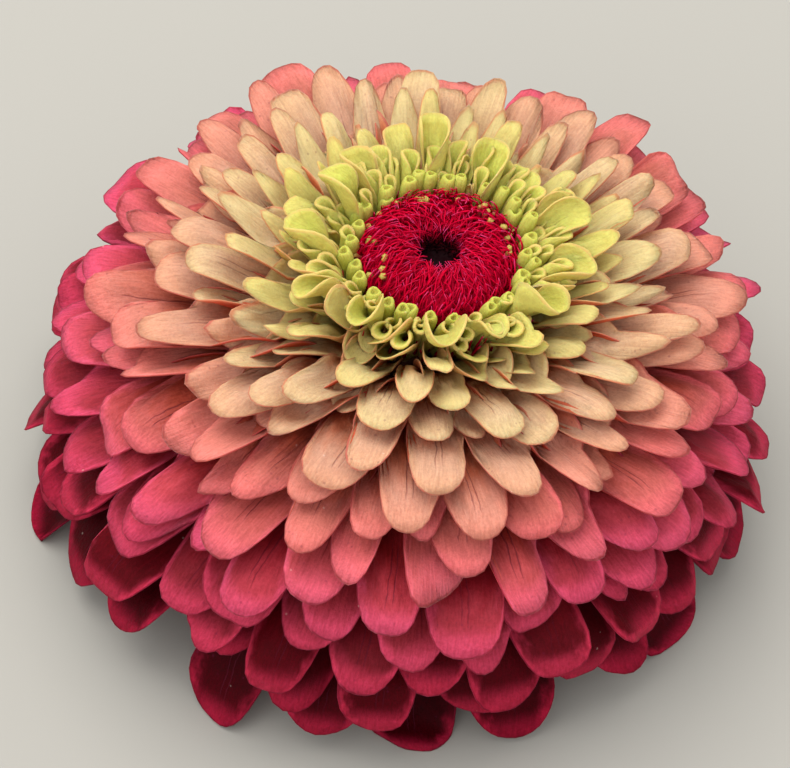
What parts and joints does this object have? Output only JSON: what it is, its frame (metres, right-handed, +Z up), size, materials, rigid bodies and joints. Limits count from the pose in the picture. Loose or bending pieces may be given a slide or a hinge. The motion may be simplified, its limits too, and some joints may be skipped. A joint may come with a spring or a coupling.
{
  "type": "zinnia flower",
  "caption": "Fully double zinnia flower head with a short stem stub, resting face up on its lowest petals.",
  "frame": {"origin": "on the resting surface, under the middle of the flower head's box", "axes": "+Z up along the flower's axis, from the stem to the disc; the head is viewed from -Y and leans a little to +X"},
  "size_m": [0.0706, 0.0708, 0.0365],
  "materials": {
    "stem": "matt green plant stem, finely ribbed",
    "bract": "matt green bract with a dark margin",
    "petal_crimson": "papery matt petal, crimson to rose",
    "petal_coral": "papery matt petal, coral",
    "petal_peach": "papery matt petal, peach with a pink rim",
    "petal_lime": "papery matt petal, lime yellow",
    "disc_chaff": "fringed crimson chaff, darker in the pit"
  },
  "bodies": {
    "root": {"stem_stub": "stem", "involucre": "bract", "ray_petals_crimson": "petal_crimson", "ray_petals_coral": "petal_coral", "ray_petals_peach": "petal_peach", "ray_petals_lime": "petal_lime", "disc": "disc_chaff"}
  },
  "joints": []
}
